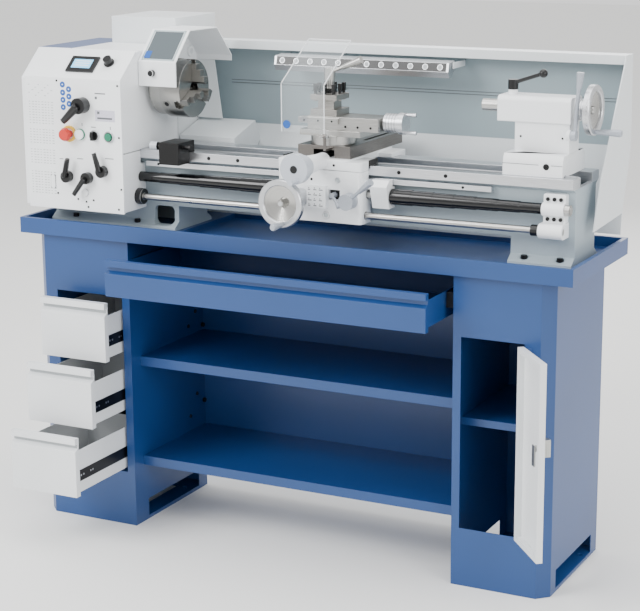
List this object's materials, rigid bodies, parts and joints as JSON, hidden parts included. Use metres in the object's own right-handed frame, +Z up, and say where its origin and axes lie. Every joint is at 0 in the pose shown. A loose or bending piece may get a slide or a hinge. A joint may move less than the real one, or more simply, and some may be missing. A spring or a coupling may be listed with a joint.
{
  "type": "metal lathe",
  "caption": "Bench-size centre lathe on a two-pedestal steel stand with drawers, cabinet, shelves, chip tray, chuck guard, splash guard, geared headstock, carriage and tailstock.",
  "frame": {"origin": "on the floor, at the centre of the four outer anchor holes, under the spindle axis", "axes": "+X along the bed from headstock to tailstock, +Y away from the operator, +Z up"},
  "size_m": [1.673, 0.769, 1.411],
  "materials": {
    "stand_blue": "satin powder coat",
    "panel_grey": "matt powder coat",
    "light_grey": "satin powder coat",
    "zinc_steel": "zinc plated",
    "black_steel": "black oxide",
    "machine_white": "satin enamel",
    "bed_iron": "ground ways, painted webs",
    "motor_iron": "painted",
    "ground_steel": "ground and oiled",
    "slide_iron": "ground",
    "black_plastic": "moulded",
    "stop_red": "moulded",
    "start_green": "moulded",
    "wheel_white": "turned and polished",
    "clear_sheet": "clear polycarbonate",
    "lamp_grey": "anodised"
  },
  "bodies": {
    "machine_frame": {"left_pedestal": "stand_blue", "right_pedestal": "stand_blue", "back_panel": "stand_blue", "stand_shelves": "stand_blue", "chip_tray": "stand_blue", "drawer_runners": "zinc_steel", "anchor_bolts": "black_steel", "bed": "bed_iron", "screw_bracket": "machine_white", "splash_guard": "machine_white", "headstock": "machine_white", "feed_gearbox": "machine_white", "front_panel": "machine_white", "electrics_cabinet": "panel_grey", "drive_motor": "motor_iron", "screw_cover_left": "ground_steel", "screw_cover_right": "ground_steel"},
    "top_drawer": {"top_drawer": "light_grey"},
    "middle_drawer": {"middle_drawer": "light_grey"},
    "bottom_drawer": {"bottom_drawer": "light_grey"},
    "centre_drawer": {"centre_drawer": "stand_blue"},
    "cabinet_door": {"cabinet_door": "light_grey"},
    "door_lock": {"door_lock": "zinc_steel"},
    "end_gear_cover": {"end_gear_cover": "stand_blue"},
    "spindle": {"spindle": "ground_steel", "chuck_body": "ground_steel"},
    "chuck_jaw_1": {"chuck_jaw_1": "ground_steel"},
    "chuck_jaw_2": {"chuck_jaw_2": "ground_steel"},
    "chuck_jaw_3": {"chuck_jaw_3": "ground_steel"},
    "chuck_guard": {"chuck_guard": "machine_white"},
    "range_lever": {"range_lever": "black_plastic"},
    "left_gear_lever": {"left_gear_lever": "black_plastic"},
    "middle_gear_lever": {"middle_gear_lever": "black_plastic"},
    "right_gear_lever": {"right_gear_lever": "black_plastic"},
    "selector_switch": {"selector_switch": "black_plastic"},
    "speed_knob": {"speed_knob": "black_plastic"},
    "stop_button": {"stop_button": "stop_red"},
    "start_button": {"start_button": "start_green"},
    "leadscrew": {"leadscrew": "ground_steel"},
    "feed_rod": {"feed_rod": "ground_steel"},
    "bed_stop": {"bed_stop": "black_steel"},
    "carriage": {"saddle": "machine_white", "apron": "machine_white"},
    "carriage_wheel": {"carriage_wheel": "wheel_white"},
    "cross_wheel": {"cross_wheel": "wheel_white"},
    "cross_slide": {"cross_slide": "slide_iron"},
    "top_slide_base": {"top_slide_base": "slide_iron"},
    "top_slide": {"top_slide": "ground_steel"},
    "top_slide_crank": {"top_slide_crank": "wheel_white"},
    "tool_post": {"tool_post": "black_steel"},
    "tool_post_lever": {"tool_post_lever": "ground_steel"},
    "carriage_shield": {"carriage_shield": "clear_sheet"},
    "half_nut_lever": {"half_nut_lever": "wheel_white"},
    "feed_lever": {"feed_lever": "wheel_white"},
    "tailstock": {"tailstock": "machine_white"},
    "quill": {"quill": "ground_steel"},
    "tailstock_wheel": {"tailstock_wheel": "wheel_white"},
    "quill_clamp": {"quill_clamp": "black_plastic"},
    "tailstock_lock": {"tailstock_lock": "wheel_white"},
    "lamp_head": {"lamp_head": "lamp_grey"}
  },
  "joints": [
    {"name": "top_drawer_slide", "type": "slide", "parent": "machine_frame", "child": "top_drawer", "axis": [0, -1, 0], "range_m": [-0.087, 0.213]},
    {"name": "middle_drawer_slide", "type": "slide", "parent": "machine_frame", "child": "middle_drawer", "axis": [0, -1, 0], "range_m": [-0.163, 0.137]},
    {"name": "bottom_drawer_slide", "type": "slide", "parent": "machine_frame", "child": "bottom_drawer", "axis": [0, -1, 0], "range_m": [-0.249, 0.051]},
    {"name": "centre_drawer_slide", "type": "slide", "parent": "machine_frame", "child": "centre_drawer", "axis": [0, -1, 0], "range_m": [-0.124, 0.176]},
    {"name": "cabinet_door_hinge", "type": "hinge", "parent": "machine_frame", "child": "cabinet_door", "pos_m": [0.691, -0.2035, 0.413], "axis": [0, 0, 1], "range_deg": [-130, 40]},
    {"name": "door_lock_turn", "type": "hinge", "parent": "cabinet_door", "child": "door_lock", "pos_m": [0.7787, -0.31658, 0.447], "axis": [-0.766, -0.6428, 0], "range_deg": [0, 90]},
    {"name": "end_cover_hinge", "type": "hinge", "parent": "machine_frame", "child": "end_gear_cover", "pos_m": [-0.703, 0.206, 1.12], "axis": [0, 0, -1], "range_deg": [0, 90]},
    {"name": "spindle_spin", "type": "hinge", "parent": "machine_frame", "child": "spindle", "pos_m": [-0.5, 0, 1.23], "axis": [1, 0, 0], "continuous": true},
    {"name": "chuck_jaw_1_slide", "type": "slide", "parent": "spindle", "child": "chuck_jaw_1", "axis": [0, 0, 1], "range_m": [-0.01, 0.014]},
    {"name": "chuck_jaw_2_slide", "type": "slide", "parent": "spindle", "child": "chuck_jaw_2", "axis": [0, -0.866, -0.5], "range_m": [-0.01, 0.014]},
    {"name": "chuck_jaw_3_slide", "type": "slide", "parent": "spindle", "child": "chuck_jaw_3", "axis": [0, 0.866, -0.5], "range_m": [-0.01, 0.014]},
    {"name": "chuck_guard_hinge", "type": "hinge", "parent": "machine_frame", "child": "chuck_guard", "pos_m": [-0.476, 0.165, 1.314], "axis": [-1, 0, 0], "range_deg": [0, 55]},
    {"name": "range_lever_turn", "type": "hinge", "parent": "machine_frame", "child": "range_lever", "pos_m": [-0.604, -0.195, 1.194], "axis": [0, 1, 0], "range_deg": [-90, 0]},
    {"name": "left_gear_lever_turn", "type": "hinge", "parent": "machine_frame", "child": "left_gear_lever", "pos_m": [-0.662, -0.195, 0.994], "axis": [0, 1, 0], "range_deg": [-60, 10]},
    {"name": "middle_gear_lever_turn", "type": "hinge", "parent": "machine_frame", "child": "middle_gear_lever", "pos_m": [-0.596, -0.195, 0.994], "axis": [0, 1, 0], "range_deg": [-60, 0]},
    {"name": "right_gear_lever_turn", "type": "hinge", "parent": "machine_frame", "child": "right_gear_lever", "pos_m": [-0.546, -0.195, 1.015], "axis": [0, 1, 0], "range_deg": [-40, 40]},
    {"name": "selector_switch_turn", "type": "hinge", "parent": "machine_frame", "child": "selector_switch", "pos_m": [-0.571, -0.195, 1.112], "axis": [0, 1, 0], "range_deg": [-45, 45]},
    {"name": "speed_knob_turn", "type": "hinge", "parent": "machine_frame", "child": "speed_knob", "pos_m": [-0.545, -0.14541, 1.305], "axis": [0, -0.65, 0.7599], "range_deg": [-150, 150]},
    {"name": "stop_button_press", "type": "slide", "parent": "machine_frame", "child": "stop_button", "axis": [0, 1, 0], "range_m": [0, 0.004], "stiffness_N_per_m": 600},
    {"name": "start_button_press", "type": "slide", "parent": "machine_frame", "child": "start_button", "axis": [0, 1, 0], "range_m": [0, 0.003], "stiffness_N_per_m": 400},
    {"name": "leadscrew_spin", "type": "hinge", "parent": "machine_frame", "child": "leadscrew", "pos_m": [0.1, -0.103, 0.993], "axis": [1, 0, 0], "continuous": true},
    {"name": "feed_rod_spin", "type": "hinge", "parent": "machine_frame", "child": "feed_rod", "pos_m": [0.1, -0.117, 0.94], "axis": [1, 0, 0], "continuous": true},
    {"name": "bed_stop_slide", "type": "slide", "parent": "machine_frame", "child": "bed_stop", "axis": [1, 0, 0], "range_m": [-0.05, 0.2]},
    {"name": "carriage_slide", "type": "slide", "parent": "machine_frame", "child": "carriage", "axis": [1, 0, 0], "range_m": [-0.265, 0.24], "deforming": ["screw_cover_left", "screw_cover_right"]},
    {"name": "carriage_wheel_turn", "type": "hinge", "parent": "carriage", "child": "carriage_wheel", "pos_m": [0.038, -0.25, 0.981], "axis": [0, 1, 0], "continuous": true},
    {"name": "cross_wheel_turn", "type": "hinge", "parent": "carriage", "child": "cross_wheel", "pos_m": [0.095, -0.266, 1.078], "axis": [0, 1, 0], "range_deg": [-5410, 4060]},
    {"name": "cross_slide_travel", "type": "slide", "parent": "carriage", "child": "cross_slide", "axis": [0, 1, 0], "range_m": [-0.06, 0.045]},
    {"name": "top_slide_swivel", "type": "hinge", "parent": "cross_slide", "child": "top_slide_base", "pos_m": [0.095, -0.062, 1.116], "axis": [0, 0, 1], "range_deg": [-10, 45]},
    {"name": "top_slide_travel", "type": "slide", "parent": "top_slide_base", "child": "top_slide", "axis": [1, 0, 0], "range_m": [-0.02, 0.03]},
    {"name": "top_slide_crank_turn", "type": "hinge", "parent": "top_slide", "child": "top_slide_crank", "pos_m": [0.25, -0.062, 1.177], "axis": [1, 0, 0], "range_deg": [-2410, 3610]},
    {"name": "tool_post_turn", "type": "hinge", "parent": "top_slide", "child": "tool_post", "pos_m": [0.084, -0.062, 1.19], "axis": [0, 0, 1], "continuous": true},
    {"name": "tool_post_lever_turn", "type": "hinge", "parent": "top_slide", "child": "tool_post_lever", "pos_m": [0.084, -0.062, 1.26], "axis": [0, 0, 1], "range_deg": [0, 90]},
    {"name": "carriage_shield_hinge", "type": "hinge", "parent": "cross_slide", "child": "carriage_shield", "pos_m": [0.116, -0.1565, 1.146], "axis": [1, 0, 0], "range_deg": [0, 90]},
    {"name": "half_nut_lever_turn", "type": "hinge", "parent": "carriage", "child": "half_nut_lever", "pos_m": [0.183, -0.15, 0.981], "axis": [0, 1, 0], "range_deg": [0, 50]},
    {"name": "feed_lever_turn", "type": "hinge", "parent": "carriage", "child": "feed_lever", "pos_m": [0.134, -0.15, 0.992], "axis": [0, 1, 0], "range_deg": [0, 40]},
    {"name": "tailstock_slide", "type": "slide", "parent": "machine_frame", "child": "tailstock", "axis": [1, 0, 0], "range_m": [-0.24, 0.05]},
    {"name": "quill_travel", "type": "slide", "parent": "tailstock", "child": "quill", "axis": [-1, 0, 0], "range_m": [-0.0421, 0.0601]},
    {"name": "tailstock_wheel_turn", "type": "hinge", "parent": "tailstock", "child": "tailstock_wheel", "pos_m": [0.782, 0, 1.23], "axis": [-1, 0, 0], "range_deg": [-3780, 5400]},
    {"name": "quill_clamp_turn", "type": "hinge", "parent": "tailstock", "child": "quill_clamp", "pos_m": [0.57, 0, 1.285], "axis": [0, 0, 1], "range_deg": [-60, 30]},
    {"name": "tailstock_lock_turn", "type": "hinge", "parent": "tailstock", "child": "tailstock_lock", "pos_m": [0.746, -0.042, 1.17], "axis": [1, 0, 0], "range_deg": [0, 70]},
    {"name": "lamp_tilt", "type": "hinge", "parent": "machine_frame", "child": "lamp_head", "pos_m": [0, 0.184, 1.304], "axis": [1, 0, 0], "range_deg": [-25, 25]}
  ],
  "couplings": [
    {"joint": "chuck_jaw_2_slide", "follows": "chuck_jaw_1_slide", "ratio": 1},
    {"joint": "chuck_jaw_3_slide", "follows": "chuck_jaw_1_slide", "ratio": 1},
    {"joint": "carriage_wheel_turn", "follows": "carriage_slide", "rad_per_m": 104.72},
    {"joint": "cross_wheel_turn", "follows": "cross_slide_travel", "rad_per_m": 1570.8},
    {"joint": "top_slide_crank_turn", "follows": "top_slide_travel", "rad_per_m": 2094.4},
    {"joint": "quill_travel", "follows": "tailstock_wheel_turn", "m_per_rad": 0.00063662}
  ]
}
